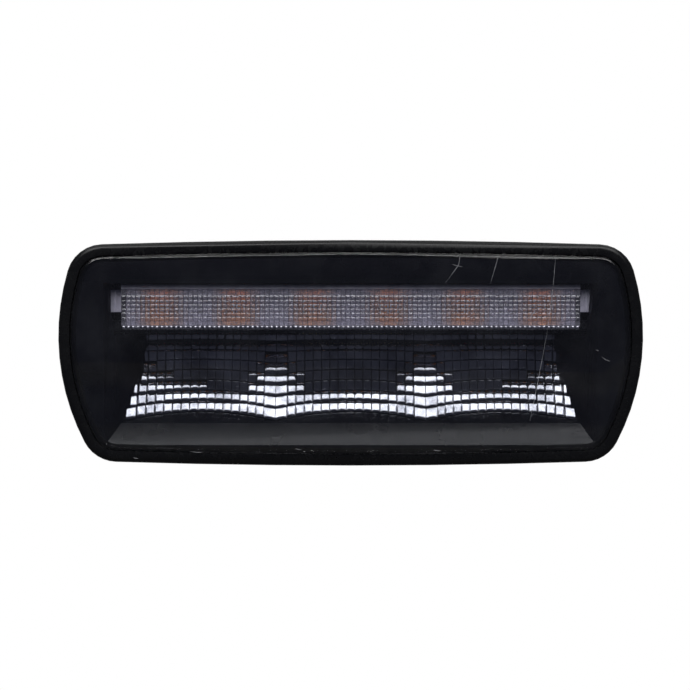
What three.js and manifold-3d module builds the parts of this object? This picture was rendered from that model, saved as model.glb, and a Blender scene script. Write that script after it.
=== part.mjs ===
// Third brake light for a vehicle cab: a sealed lamp with a stop-light bar above three mirrored cells.
// Millimetres. +X is to the right seen from outside, +Y goes into the cab, +Z is up.
// The origin is the centre of the cab panel that the lamp seals against, so the gasket's back lies on Y = 0.
import * as THREE from "three";
import { mergeVertices } from "three/addons/utils/BufferGeometryUtils.js";
import Module from "manifold-3d";

const wasm = await Module();
wasm.setup();

// ---------------------------------------------------------------- driving dimensions

const gap = 0.3; // clearance between pieces that touch
const screwFit = 0.35; // radial clearance of a screw in its hole
const past = 1; // how far a cutting shape runs past the faces that it opens
const bite = 0.5; // how far joined shapes of one piece run into each other

const lamp = {
  width: 318,
  height: 122.8,
  sideRadius: 125, // the bulging left and right sides
  sideCentreZ: 9, // height at which the lamp is widest
  bowRadius: 4000, // the slightly bowed top and bottom
  cornerRadius: 20,
  tightestCorner: 4, // for outlines moved far in
};

const gasket = { thickness: 4, outerInset: 1.6, tubMargin: 1.2 };

const rim = {
  front: -22.5,
  width: 6.2,
  edgeRadius: 3,
  channelFloor: -11.5,
  innerWallInset: 10.4,
  innerWallThickness: 1.8,
  innerWallFront: -17.8,
  flangeThickness: 3,
};

const tub = {
  sideBand: 22.5, // from the lamp's side to the tub
  edgeBand: 16.8, // from the lamp's top and bottom to the tub
  cornerRadius: 8,
  wall: 2.2,
  roomBehindCells: 3,
  slopeTopZ: -8,
  slopeBottomY: 20,
  ribHeight: 3,
  ribThickness: 2,
  ribSpacing: 70,
};

const lens = {
  front: -24.5,
  thickness: 2.5,
  skirtBack: -13.6,
  skirtThickness: 2.4,
  sideGap: 0.5,
  edgeRadius: 1.8,
};

const mask = {
  front: -20.6,
  thickness: 2.2,
  outerInset: 9.8,
  sideBand: 28.5, // from the lamp's side to the window
  topBand: 23.8,
  bottomBand: 22.8,
  windowY: -13, // where the slopes end and the window begins
  footNarrowing: 5, // how much closer in the window's lower corners are
  sideSlope: 4,
  footSlope: 8,
  bottomSlope: 11.5,
  sideWallBack: -2,
  topWallBack: -9,
  floorBack: 16.5,
  floorPitch: 0.17, // rise of the window's floor per unit of depth
  cheekBack: 30,
  cheekPitch: 0.38, // how far the cheeks beside the cells lean in per unit of depth
  wall: 2,
  spotRadius: 6.4,
  spotHeight: 0.4,
  spotZ: -6,
};

const bar = {
  endGap: 5.5, // from the window's side to the end of the bar
  topGap: 0.4,
  height: 24.9,
  front: -17.5,
  depth: 10,
  wall: 2.2,
  tabLength: 7.4,
  tabHeight: 12.3,
  tabTopDrop: 2.9,
  tabThickness: 2,
  tabY: -13,
  tabRoom: 1, // free space round a tab in its slot
  tabRibHalf: 0.4,
  tabRibProud: 0.6,
  ledCount: 6,
};

const cups = { depth: 6.3, margin: 2.4, throatWidth: 6, throatHeight: 5, mouthShare: 0.88, mouthHeight: 17 };

const board = { thickness: 1.6 };

const carrier = {
  thickness: 2,
  earWidth: 4.2,
  earHeight: 5.4,
  earFront: -9.5,
  postRadius: 2.5,
  slotWidth: 12,
  slotHeight: 8,
};

const cell = {
  count: 3,
  endGap: 6, // from the window's side to the outermost cell
  frontY: -8, // foot of the ridges between cells
  focusBehindCarrier: 9.2569,
  shellShift: 2.5, // wall thickness along Y
  flangeThickness: 1.8,
  earReach: 3.5, // past the window's side
  earWidth: 4.6,
  earFrontY: 24,
  bossRadius: 3.2,
  bossDepth: 8, // below the flange's top
  bossHoleDepth: 7.6,
};

const led = { length: 3.5, width: 2.8, height: 1.3, baseHeight: 0.91, domeRadius: 1.12 };
const cargoLed = { count: 3, pitch: 12 };
const sideLed = { count: 2, pitch: 10 };

const screw = {
  shankRadius: 1,
  headRadius: 1.75,
  headHeight: 1.2,
  length: 12,
  recessWidth: 0.5,
  recessDepth: 0.5,
  recessShare: 0.62, // of the head's radius
  cellLength: 8,
  shortLength: 7,
};

// Sizes of the parts on the cell board, and the places of their middles.
const component = {
  chip: { length: 5, width: 4, height: 1.6 },
  capacitor: { base: 8.4, baseHeight: 1, radius: 3.9, height: 10 },
  diode: { length: 4.6, width: 3.6, height: 2.3 },
  resistor: { length: 6.4, width: 3.2, height: 0.6 },
  header: { width: 6, height: 6, wall: 1, endRoom: 1.4 },
  linkHeader: { length: 8, width: 4, height: 3.5 },
};

const places = {
  driverChip: [18, 24],
  inputCapacitor: [34, 14],
  protectionDiode: [52, 12],
  seriesResistors: [
    [-12, 24],
    [-22, 24],
    [-32, 24],
  ],
  supplyHeaderY: 26,
  linkHeaderY: 11,
};

const lead = { radius: 0.7, sides: 6, steps: 10, linkHalfPitch: 2 };

const stud = {
  radius: 3,
  headRadius: 5,
  headThickness: 2.6,
  length: 20, // past the panel
  edgeInset: 9.5,
  clampGap: 2.5, // room for the cab panel under the nut
  nutAcross: 10,
  nutHeight: 5.5,
  nutFlangeRadius: 7,
  nutFlangeThickness: 1.3,
};

const socket = {
  x: 70,
  z: 22,
  cavityWidth: 22,
  cavityHeight: 13,
  wall: 2,
  depth: 12,
  plateMargin: 6,
  plateLip: 1,
  plateThickness: 2,
  neckWidth: 20,
  neckHeight: 11,
  neckDepth: 5,
  sealThickness: 1.2,
  pinCount: 4,
  pinPitch: 4.4,
  pinWidth: 1.6,
  pinThickness: 0.8,
  pinReach: 7,
  pinTail: 2,
};

const latch = { back: 7, front: 2, land: 1, height: 1.5, width: 6 };

const vent = {
  x: -70,
  z: 22,
  holeRadius: 2.5,
  membraneRadius: 5.5,
  membraneThickness: 0.4,
  capRadius: 7,
  capHeight: 5,
  capRoof: 1.5,
  slotWidth: 3,
  slotHeight: 2,
};

// ---------------------------------------------------------------- sizes that follow from them

const halfWidth = lamp.width / 2;
const halfHeight = lamp.height / 2;
const flangeBack = -gasket.thickness;
const flangeFront = flangeBack - rim.flangeThickness;
const lensInset = rim.width + lens.sideGap;

const tubHalfWidth = halfWidth - tub.sideBand;
const tubHalfHeight = halfHeight - tub.edgeBand;

const win = {
  halfWidth: halfWidth - mask.sideBand,
  top: halfHeight - mask.topBand,
  bottom: -halfHeight + mask.bottomBand,
};
const floorZ = (y) => win.bottom + (y - mask.windowY) * mask.floorPitch;
const cheekX = (y) => win.halfWidth - (y - mask.windowY) * mask.cheekPitch;

const barHalf = win.halfWidth - bar.endGap;
const barTop = win.top - bar.topGap;
const barBottom = barTop - bar.height;
const barMidZ = (barTop + barBottom) / 2;
const barBack = bar.front + bar.depth;
const ledPitch = (2 * barHalf) / bar.ledCount;

const cupsFront = barBack + gap;
const cupsBack = cupsFront + cups.depth;
const cupsHalfHeight = bar.height / 2 - cups.margin;
const barBoardFront = cupsBack + gap;
const barBoardBack = barBoardFront + board.thickness;
const carrierFront = barBoardBack + gap;
const carrierBack = carrierFront + carrier.thickness;

const earX = win.halfWidth - carrier.earWidth / 2 - gap;
const earZ = barBottom + carrier.earHeight / 2 - gap;

const flangeTopZ = barBottom - 0.7; // top of the mirrored cells, just below the bar
const ledBottomZ = flangeTopZ + 0.5;
const cellsFlangeBottom = flangeTopZ - cell.flangeThickness;
const cheekTop = cellsFlangeBottom - gap;
const cellBoardBottom = ledBottomZ + led.height + gap;
const cellBoardTop = cellBoardBottom + board.thickness;
const focusZ = ledBottomZ;
const cellHalf = (win.halfWidth - cell.endGap) / cell.count;
const cellDrop = focusZ - floorZ(cell.frontY);
const focusY = carrierBack + cell.focusBehindCarrier;
// The bowls pass through the foot of the ridges and keep their focus at the light sources.
const focusToFoot = focusY - cell.frontY;
const focal = (Math.hypot(focusToFoot, cellHalf, cellDrop) - focusToFoot) / 2;
const bowlBack = focusY + focal;
const tubBack = bowlBack + cell.shellShift + tub.roomBehindCells + tub.wall;
const cellsHalf = cheekX(bowlBack) - gap; // at the back of the cells
const cellBoardFrontY = carrierBack + 0.8;
const cellBoardBackY = bowlBack;
const cellCentres = Array.from({ length: cell.count }, (_, i) => (2 * i - cell.count + 1) * cellHalf);
const ridges = cellCentres.slice(1).map((x) => x - cellHalf);

const studX = halfWidth - stud.edgeInset;
const studSeats = { left: -studX, right: studX };

// ---------------------------------------------------------------- materials

const paint = (color, roughness, metalness = 0, opacity = 1) =>
  new THREE.MeshStandardMaterial({ color, roughness, metalness, opacity, transparent: opacity < 1 });

const blackPlastic = paint(0x17181a, 0.55);
const glossBlack = paint(0x0b0b0e, 0.18);
const rubber = paint(0x1c1c1d, 0.9);
const clearPlastic = paint(0xf2f4f7, 0.05, 0, 0.3);
const mirror = paint(0xd9dade, 0.1, 1);
const whiteTray = paint(0xdedfe2, 0.4);
const circuitBoard = paint(0xe8e8e2, 0.5);
const darkBoard = paint(0x14151a, 0.5);
const amberDie = paint(0xe08a2a, 0.3);
const yellowPhosphor = paint(0xe6d25a, 0.5);
const redDie = paint(0xb3122a, 0.3);
const zinc = paint(0xb9bcc0, 0.35, 1);
const brass = paint(0xc9a45a, 0.35, 1);
const chipBlack = paint(0x202124, 0.5);
const silicone = paint(0xa84a22, 0.7);
const sealant = paint(0x2b2b2d, 0.8);
const redWire = paint(0xa51f1f, 0.5);
const blackWire = paint(0x1a1a1b, 0.5);
const whiteWire = paint(0xd8d6cf, 0.5);

// ---------------------------------------------------------------- solids from three.js geometries

function solidOf(geometry) {
  const bare = geometry.index ? geometry.toNonIndexed() : geometry.clone();
  bare.deleteAttribute("normal");
  bare.deleteAttribute("uv");
  const merged = mergeVertices(bare, 1e-4);
  const vertProperties = merged.attributes.position.array;
  const triVerts = new Uint32Array(merged.index.array);
  return new wasm.Manifold(new wasm.Mesh({ numProp: 3, vertProperties, triVerts }));
}

function geometryOf(solid) {
  const { vertProperties, triVerts, numProp } = solid.getMesh();
  const position = new Float32Array((vertProperties.length / numProp) * 3);
  for (let i = 0; i < position.length / 3; i++) {
    position.set(vertProperties.subarray(i * numProp, i * numProp + 3), i * 3);
  }
  const geometry = new THREE.BufferGeometry();
  geometry.setAttribute("position", new THREE.BufferAttribute(position, 3));
  geometry.setIndex(new THREE.BufferAttribute(triVerts, 1));
  return geometry;
}

const join = (...solids) => solids.reduce((whole, part) => whole.add(part));
const cut = (whole, ...parts) => parts.reduce((rest, part) => rest.subtract(part), whole);

const block = (x0, x1, y0, y1, z0, z1) =>
  solidOf(
    new THREE.BoxGeometry(x1 - x0, y1 - y0, z1 - z0).translate((x0 + x1) / 2, (y0 + y1) / 2, (z0 + z1) / 2),
  );

const rodAlongY = (radius, y0, y1, x, z, sides = 24) =>
  solidOf(new THREE.CylinderGeometry(radius, radius, y1 - y0, sides).translate(x, (y0 + y1) / 2, z));

const rodAlongZ = (radius, z0, z1, x, y, sides = 24) =>
  solidOf(
    new THREE.CylinderGeometry(radius, radius, z1 - z0, sides)
      .rotateX(Math.PI / 2)
      .translate(x, y, (z0 + z1) / 2),
  );

const screwHoleY = (y0, y1, x, z) => rodAlongY(screw.shankRadius + screwFit, y0, y1, x, z, 16);
const screwHoleZ = (z0, z1, x, y) => rodAlongZ(screw.shankRadius + screwFit, z0, z1, x, y, 16);

// An outline drawn in X and Z, from yFront back to yBack.
const plate = (shape, yFront, yBack) =>
  solidOf(
    new THREE.ExtrudeGeometry(shape, { depth: yBack - yFront, bevelEnabled: false })
      .rotateX(Math.PI / 2)
      .translate(0, yBack, 0),
  );

// The same, with its front and back edges rounded.
const roundedPlate = (shape, yFront, yBack, radius, steps = 3) =>
  solidOf(
    new THREE.ExtrudeGeometry(shape, {
      depth: yBack - yFront - 2 * radius,
      bevelThickness: radius,
      bevelSize: radius,
      bevelOffset: -radius,
      bevelSegments: steps,
    })
      .rotateX(Math.PI / 2)
      .translate(0, yBack - radius, 0),
  );

// A side view drawn in Y and Z, spread from x0 to x1.
const spread = (points, x0, x1) =>
  solidOf(
    new THREE.ExtrudeGeometry(new THREE.Shape(points.map(([y, z]) => new THREE.Vector2(y, z))), {
      depth: x1 - x0,
      bevelEnabled: false,
    })
      .rotateY(Math.PI / 2)
      .rotateX(Math.PI / 2)
      .translate(x0, 0, 0),
  );

function roundedRectangle(halfW, halfH, radius) {
  const shape = new THREE.Shape();
  shape.absarc(halfW - radius, halfH - radius, radius, 0, Math.PI / 2, false);
  shape.absarc(-halfW + radius, halfH - radius, radius, Math.PI / 2, Math.PI, false);
  shape.absarc(-halfW + radius, -halfH + radius, radius, Math.PI, 1.5 * Math.PI, false);
  shape.absarc(halfW - radius, -halfH + radius, radius, 1.5 * Math.PI, 2 * Math.PI, false);
  return new THREE.Shape(shape.getPoints(5));
}

// A four-sided funnel between two upright trapeziums.
// Each is given by its half widths at foot and head and its z range.
function funnel(front, back, yFront, yBack) {
  const geometry = new THREE.BoxGeometry(2, 1, 1);
  const p = geometry.attributes.position;
  for (let i = 0; i < p.count; i++) {
    const [foot, head, z0, z1] = p.getY(i) < 0 ? front : back;
    const low = p.getZ(i) < 0;
    p.setXYZ(i, p.getX(i) * (low ? foot : head), p.getY(i) < 0 ? yFront : yBack, low ? z0 : z1);
  }
  return solidOf(geometry);
}

// The same, carried on past both ends for cutting a clean opening.
function openFunnel(front, back, yFront, yBack, past = 1) {
  const share = past / (yBack - yFront);
  const beyond = (near, far) => near.map((value, i) => value + (value - far[i]) * share);
  return funnel(beyond(front, back), beyond(back, front), yFront - past, yBack + past);
}

// ---------------------------------------------------------------- the lamp's outline

const arc = (circle, from, to, steps) =>
  new THREE.EllipseCurve(circle.x, circle.z, circle.r, circle.r, from, to).getPoints(steps);

// Circle in the upper (up = 1) or lower (up = -1) corner that touches the side arc and the bowed edge.
function cornerCircle(side, bow, r, up) {
  const towardsSide = new THREE.Vector2(side.x - bow.x, up * side.z - bow.z);
  const apart = towardsSide.length();
  const unit = towardsSide.normalize();
  const along = ((bow.r - r) ** 2 - (side.r - r) ** 2 + apart ** 2) / (2 * apart);
  const across = Math.sqrt((bow.r - r) ** 2 - along ** 2);
  const x = bow.x + unit.x * along + unit.y * across;
  const z = up * (bow.z + unit.y * along - unit.x * across);
  return { x, z, r };
}

// The lamp's outline, moved in by inset: bulging sides, slightly bowed top and bottom, round corners.
function outline(inset) {
  const side = { x: halfWidth - lamp.sideRadius, z: lamp.sideCentreZ, r: lamp.sideRadius - inset };
  const top = { x: 0, z: halfHeight - lamp.bowRadius, r: lamp.bowRadius - inset };
  const bottom = { ...top, z: -top.z };
  const cornerRadius = Math.max(lamp.cornerRadius - inset, lamp.tightestCorner);
  const upper = cornerCircle(side, top, cornerRadius, 1);
  const lower = cornerCircle(side, top, cornerRadius, -1);
  const angle = (from, to) => Math.atan2(to.z - from.z, to.x - from.x);
  const rightHalf = [
    ...arc(bottom, -Math.PI / 2, angle(bottom, lower), 3).slice(0, -1),
    ...arc(lower, angle(bottom, lower), angle(side, lower), 6).slice(0, -1),
    ...arc(side, angle(side, lower), angle(side, upper), 10).slice(0, -1),
    ...arc(upper, angle(side, upper), angle(top, upper), 6).slice(0, -1),
    ...arc(top, angle(top, upper), Math.PI / 2, 3),
  ];
  const leftHalf = rightHalf
    .slice(1, -1)
    .reverse()
    .map((p) => new THREE.Vector2(-p.x, p.y));
  return new THREE.Shape([...rightHalf, ...leftHalf]);
}

// ---------------------------------------------------------------- casing, gasket and lens

// Side view of the rear tub, moved in by inset: deep above, sloping forward below.
function tubProfile(inset) {
  const deepY = tubBack - inset;
  const footZ = -halfHeight;
  const run = new THREE.Vector2(tub.slopeBottomY - tubBack, -tubHalfHeight - tub.slopeTopZ).normalize();
  const inward = new THREE.Vector2(run.y, -run.x);
  const kneeZ = tub.slopeTopZ + (inset + inset * inward.x) / inward.y;
  const footY = deepY + ((footZ - kneeZ) * run.x) / run.y;
  return [
    [flangeFront, footZ],
    [footY, footZ],
    [deepY, kneeZ],
    [deepY, halfHeight],
    [flangeFront, halfHeight],
  ];
}

// The tub seen from the front, moved in by inset.
const tubOutline = (inset) =>
  roundedRectangle(tubHalfWidth - inset, tubHalfHeight - inset, Math.max(tub.cornerRadius - inset, 0.5));

const bossSeats = [-1, 1].map((side) => ({
  side,
  earX: side * earX,
  ledgeX: side * (win.halfWidth + cell.earReach - cell.earWidth / 2),
}));

const reflectorScrewY = (cell.earFrontY + bowlBack) / 2;
const screwPilotDepth = screw.length + 1;

// Posts and ledges inside the tub that the bar's carrier and the mirrored cells are screwed to.
function innerBosses() {
  const hull = plate(tubOutline(tub.wall / 2), carrierBack + gap, tubBack - tub.wall / 2);
  const bosses = bossSeats.map(({ side, earX: x }) => {
    const inner = side * (win.halfWidth + cell.earReach - cell.earWidth - 1);
    const ledge = block(
      Math.min(inner, side * halfWidth),
      Math.max(inner, side * halfWidth),
      cell.earFrontY,
      tubBack,
      cellsFlangeBottom - 9,
      cellsFlangeBottom - gap,
    );
    return join(rodAlongY(carrier.postRadius, carrierBack + gap, tubBack, x, earZ, 16), ledge);
  });
  return join(...bosses).intersect(hull);
}

function studSeatCuts() {
  return Object.values(studSeats).flatMap((x) => [
    rodAlongY(stud.radius + gap, flangeFront, flangeBack + past, x, 0),
    rodAlongY(
      stud.headRadius + gap,
      (rim.channelFloor + flangeBack - stud.headThickness) / 2 - gap,
      (rim.channelFloor + flangeBack + stud.headThickness) / 2 + gap,
      x,
      0,
    ),
  ]);
}

function makeHousing() {
  const rimBody = cut(
    roundedPlate(outline(0), rim.front, flangeBack + rim.edgeRadius, rim.edgeRadius, 4),
    plate(outline(rim.width), rim.front - past, rim.channelFloor),
    block(
      -halfWidth,
      halfWidth,
      flangeBack,
      flangeBack + 2 * rim.edgeRadius,
      -halfHeight - past,
      halfHeight + past,
    ),
  );
  const innerWall = cut(
    plate(outline(rim.innerWallInset), rim.innerWallFront, flangeFront),
    plate(outline(rim.innerWallInset + rim.innerWallThickness), rim.front, flangeBack),
  );
  const ribs = [-1.5, -0.5, 0.5, 1.5].map((place) => {
    const x = place * tub.ribSpacing;
    return spread(tubProfile(-tub.ribHeight), x - tub.ribThickness / 2, x + tub.ribThickness / 2);
  });
  const ribLimit = plate(tubOutline(tub.wall), flangeFront, tubBack + tub.ribHeight);
  const tubOuter = join(
    plate(tubOutline(0), flangeFront, tubBack).intersect(spread(tubProfile(0), -halfWidth, halfWidth)),
    join(...ribs).intersect(ribLimit),
  );
  const tubInner = plate(tubOutline(tub.wall), flangeFront - past, tubBack).intersect(
    join(spread(tubProfile(tub.wall), -halfWidth, halfWidth), plate(outline(0), rim.front, flangeBack)),
  );
  const frontRoom = plate(outline(rim.innerWallInset + rim.innerWallThickness), rim.front, flangeFront);
  const pilots = bossSeats.flatMap(({ earX: x, ledgeX }) => [
    screwHoleY(carrierBack, carrierBack + screwPilotDepth, x, earZ),
    screwHoleZ(cellsFlangeBottom - screw.cellLength + past, cellsFlangeBottom, ledgeX, reflectorScrewY),
  ]);
  const neckHole = block(
    socket.x - socket.neckWidth / 2 - gap,
    socket.x + socket.neckWidth / 2 + gap,
    tubBack - tub.wall - past,
    tubBack + past,
    socket.z - socket.neckHeight / 2 - gap,
    socket.z + socket.neckHeight / 2 + gap,
  );
  const ventHole = rodAlongY(vent.holeRadius, tubBack - tub.wall - past, tubBack + past, vent.x, vent.z);
  const shell = cut(join(rimBody, innerWall, tubOuter), frontRoom, tubInner);
  const openings = [neckHole, ventHole, maskSlopes(mask.wall + gap), ...socketScrewHoles()];
  return cut(join(shell, innerBosses()), ...pilots, ...studSeatCuts(), ...openings);
}

const ring = (outerInset, innerInset, yFront, yBack) =>
  cut(plate(outline(outerInset), yFront, yBack), plate(outline(innerInset), yFront - past, yBack + past));

function makeGasket() {
  const studHoles = Object.values(studSeats).map((x) =>
    rodAlongY(stud.radius + gap, flangeBack - past, past, x, 0),
  );
  const pad = plate(outline(gasket.outerInset), flangeBack + gap, 0);
  return cut(pad, plate(tubOutline(-gasket.tubMargin), flangeBack, past), ...studHoles);
}

const makeSealant = () =>
  ring(rim.width + gap, rim.innerWallInset - gap, lens.skirtBack + gap, rim.channelFloor - gap);

function makeOuterLens() {
  const inner = lensInset + lens.skirtThickness;
  const dishBack = lens.skirtBack + 2 * lens.edgeRadius;
  const dish = roundedPlate(outline(lensInset), lens.front, dishBack, lens.edgeRadius, 4);
  return cut(
    dish,
    plate(outline(inner), lens.front + lens.thickness, 0),
    block(-halfWidth, halfWidth, lens.skirtBack, 0, -halfHeight, halfHeight),
  );
}

// ---------------------------------------------------------------- mask

const grow = ([foot, head, z0, z1], by) => [foot + by, head + by, z0 - by, z1 + by];
const windowSection = [win.halfWidth - mask.footNarrowing, win.halfWidth, win.bottom, win.top];
const upperSection = [win.halfWidth, win.halfWidth, win.bottom, win.top];
const mouthSection = [
  windowSection[0] + mask.footSlope,
  windowSection[1] + mask.sideSlope,
  win.bottom - mask.bottomSlope,
  win.top + bar.topGap,
];

// The slopes that lead from the mask's face in to its window, grown outward.
const maskSlopes = (growth) =>
  funnel(grow(mouthSection, growth), grow(windowSection, growth), mask.front, mask.windowY);

// The room between the cheeks and above the floor, grown outward, from the window back to yBack.
function throat(growth, yBack) {
  const back = [
    cheekX(yBack) - mask.footNarrowing,
    cheekX(yBack),
    floorZ(yBack),
    win.top,
  ];
  return openFunnel(grow(windowSection, growth), grow(back, growth), mask.windowY, yBack);
}

function makeMask() {
  const panel = plate(outline(mask.outerInset), mask.front, mask.front + mask.thickness);
  const slopes = maskSlopes(mask.wall);
  const room = (y0, y1, z0, z1) => block(-halfWidth, halfWidth, y0, y1, z0, z1);
  const outerSection = grow(upperSection, mask.wall);
  const upperWalls = funnel(outerSection, outerSection, mask.windowY, mask.sideWallBack).intersect(
    room(mask.windowY, mask.sideWallBack, cheekTop, halfHeight),
  );
  const lowerRoom = room(mask.windowY, mask.cheekBack, -halfHeight, cheekTop);
  const shaft = throat(mask.wall, mask.cheekBack).intersect(lowerRoom);
  const behind = mask.cheekBack + past;
  const floorEnd = spread(
    [
      [mask.floorBack, -halfHeight],
      [behind, -halfHeight],
      [behind, floorZ(behind)],
      [mask.floorBack, floorZ(mask.floorBack)],
    ],
    -halfWidth,
    halfWidth,
  );
  const limit = plate(outline(mask.outerInset), mask.front, mask.cheekBack);
  const belowTub = cut(
    room(flangeBack, behind, -halfHeight, 0),
    spread(tubProfile(tub.wall + gap), -halfWidth, halfWidth),
  );
  const body = cut(join(panel, slopes, upperWalls, shaft).intersect(limit), floorEnd, belowTub);
  const upperRoom = funnel(upperSection, upperSection, mask.windowY - gap, behind);
  const topClear = block(-halfWidth, halfWidth, mask.topWallBack, behind, win.top - past, halfHeight);
  const tabSlots = [-1, 1].map((side) =>
    block(
      side * win.halfWidth - mask.wall - bar.tabRoom,
      side * win.halfWidth + mask.wall + bar.tabRoom,
      bar.tabY - bar.tabRoom,
      bar.tabY + bar.tabThickness + bar.tabRoom,
      barTop - bar.tabTopDrop - bar.tabHeight - bar.tabRoom,
      barTop - bar.tabTopDrop + bar.tabRoom,
    ),
  );
  const spot = rodAlongY(
    mask.spotRadius,
    mask.front - mask.spotHeight,
    mask.front + mask.thickness / 2,
    -(win.halfWidth + mask.sideSlope + mask.spotRadius + 0.5),
    mask.spotZ,
    32,
  );
  const mouth = openFunnel(mouthSection, windowSection, mask.front, mask.windowY);
  const opening = join(
    mouth,
    throat(0, mask.cheekBack),
    upperRoom.intersect(room(mask.front, behind, cheekTop, halfHeight)),
    topClear,
    ...tabSlots,
  );
  return cut(join(body, spot), opening);
}

// ---------------------------------------------------------------- stop-light bar

function makeBarLens() {
  const shell = cut(
    block(-barHalf, barHalf, bar.front, barBack, barBottom, barTop),
    block(
      -barHalf + bar.wall,
      barHalf - bar.wall,
      bar.front + bar.wall,
      barBack + past,
      barBottom + bar.wall,
      barTop - bar.wall,
    ),
  );
  const tabTop = barTop - bar.tabTopDrop;
  const tabs = [-1, 1].map((side) => {
    const ends = [side * (barHalf - bite), side * (barHalf + bar.tabLength)].sort((a, b) => a - b);
    const middle = side * (barHalf + bar.tabLength / 2);
    return join(
      block(...ends, bar.tabY, bar.tabY + bar.tabThickness, tabTop - bar.tabHeight, tabTop),
      block(
        middle - bar.tabRibHalf,
        middle + bar.tabRibHalf,
        bar.tabY - bar.tabRibProud,
        bar.tabY + bar.tabThickness / 2,
        tabTop - bar.tabHeight,
        tabTop,
      ),
    );
  });
  return join(shell, ...tabs);
}

const ledXs = Array.from({ length: bar.ledCount }, (_, i) => (i - (bar.ledCount - 1) / 2) * ledPitch);

const barScrewXs = [-ledPitch, ledPitch].map((x) => x * (bar.ledCount / 2 - 1));
const barScrewZ = barMidZ;

function makeCups() {
  const mouth = (ledPitch * cups.mouthShare) / 2;
  const funnels = ledXs.map((x) =>
    openFunnel(
      [mouth, mouth, -cups.mouthHeight / 2, cups.mouthHeight / 2],
      [cups.throatWidth / 2, cups.throatWidth / 2, -cups.throatHeight / 2, cups.throatHeight / 2],
      cupsFront,
      cupsBack,
    ).translate([x, 0, barMidZ]),
  );
  const tray = block(
    -barHalf + cups.margin,
    barHalf - cups.margin,
    cupsFront,
    cupsBack,
    barMidZ - cupsHalfHeight,
    barMidZ + cupsHalfHeight,
  );
  const headHoles = barScrewXs.map((x) =>
    rodAlongY(screw.headRadius + gap, cupsFront - past, cupsBack + past, x, barScrewZ, 16),
  );
  return cut(tray, ...funnels, ...headHoles);
}

function makeBarBoard() {
  const plain = block(
    -barHalf + cups.margin,
    barHalf - cups.margin,
    barBoardFront,
    barBoardBack,
    barMidZ - cupsHalfHeight,
    barMidZ + cupsHalfHeight,
  );
  const holes = barScrewXs.map((x) =>
    screwHoleY(barBoardFront - past, barBoardBack + past, x, barScrewZ),
  );
  return cut(plain, ...holes);
}

const slotX = -socket.x;
const slotZ = barMidZ;

function makeCarrier() {
  const back = block(-earX, earX, carrierFront, carrierBack, barBottom - gap, barTop);
  const ears = bossSeats.map(({ earX: x }) =>
    block(
      x - carrier.earWidth / 2,
      x + carrier.earWidth / 2,
      carrier.earFront,
      carrierBack,
      earZ - carrier.earHeight / 2,
      earZ + carrier.earHeight / 2,
    ),
  );
  const holes = [
    ...bossSeats.map(({ earX: x }) =>
      screwHoleY(carrier.earFront - past, carrierBack + past, x, earZ),
    ),
    ...barScrewXs.map((x) =>
      screwHoleY(carrierFront - past, carrierBack + past, x, barScrewZ),
    ),
    block(
      slotX - carrier.slotWidth / 2,
      slotX + carrier.slotWidth / 2,
      carrierFront - past,
      carrierBack + past,
      slotZ - carrier.slotHeight / 2,
      slotZ + carrier.slotHeight / 2,
    ),
  ];
  return cut(join(back, ...ears), ...holes);
}

// A cross-recessed screw standing on its tip at the origin, its head up +Y.
function makeScrew(length = screw.length) {
  const shank = rodAlongY(screw.shankRadius, 0, length, 0, 0, 8);
  const head = rodAlongY(screw.headRadius, length, length + screw.headHeight, 0, 0, 14);
  const top = length + screw.headHeight;
  const arm = screw.headRadius * screw.recessShare;
  const half = screw.recessWidth / 2;
  const cross = join(
    block(-arm, arm, top - screw.recessDepth, top + past, -half, half),
    block(-half, half, top - screw.recessDepth, top + past, -arm, arm),
  );
  return cut(join(shank, head), cross);
}

// ---------------------------------------------------------------- mirrored cells

// A bowl whose focus is the light source: every ray from there leaves forward along -Y.
function bowl(centreX, vertexY) {
  const reach = Math.hypot(cellHalf, cellDrop) * 1.35;
  const steps = 10;
  const profile = [new THREE.Vector2(0, vertexY)];
  for (let i = 1; i <= steps; i++) {
    const r = (reach * i) / steps;
    profile.push(new THREE.Vector2(r, vertexY - (r * r) / (4 * focal)));
  }
  profile.push(new THREE.Vector2(0, profile.at(-1).y));
  return solidOf(new THREE.LatheGeometry(profile.reverse(), 40).translate(centreX, 0, focusZ));
}

const cellBoardScrews = ridges.map((x) => ({ x, y: (focusY + cellBoardBackY) / 2 + 5 }));

function makeCells() {
  const backY = bowlBack + cell.shellShift;
  const reach = win.halfWidth + cell.earReach;
  const room = throat(-gap, backY);
  const outer = join(...cellCentres.map((x) => bowl(x, backY)))
    .intersect(room)
    .intersect(block(-halfWidth, halfWidth, cell.frontY - past, backY, win.bottom, flangeTopZ));
  const flange = join(
    block(-cellsHalf, cellsHalf, focusY, backY, cellsFlangeBottom, flangeTopZ),
    block(-reach, reach, cell.earFrontY, bowlBack, cellsFlangeBottom, flangeTopZ),
  );
  const bosses = cellBoardScrews.map(({ x, y }) =>
    rodAlongZ(cell.bossRadius, flangeTopZ - cell.bossDepth, cellBoardBottom - gap, x, y, 20),
  );
  const screwHoles = [
    ...cellBoardScrews.map(({ x, y }) =>
      screwHoleZ(cellBoardBottom - cell.bossHoleDepth, cellBoardBottom, x, y),
    ),
    ...bossSeats.map(({ ledgeX }) =>
      screwHoleZ(cellsFlangeBottom - past, flangeTopZ + past, ledgeX, reflectorScrewY),
    ),
  ];
  const bowls = join(...cellCentres.map((x) => bowl(x, bowlBack)));
  return cut(join(outer, flange, ...bosses), bowls, ...screwHoles);
}

function makeCellBoard() {
  const half = cellsHalf - 1;
  const plain = block(-half, half, cellBoardFrontY, cellBoardBackY, cellBoardBottom, cellBoardTop);
  const holes = cellBoardScrews.map(({ x, y }) =>
    screwHoleZ(cellBoardBottom - past, cellBoardTop + past, x, y),
  );
  return cut(plain, ...holes);
}

// ---------------------------------------------------------------- small parts on the boards

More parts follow.
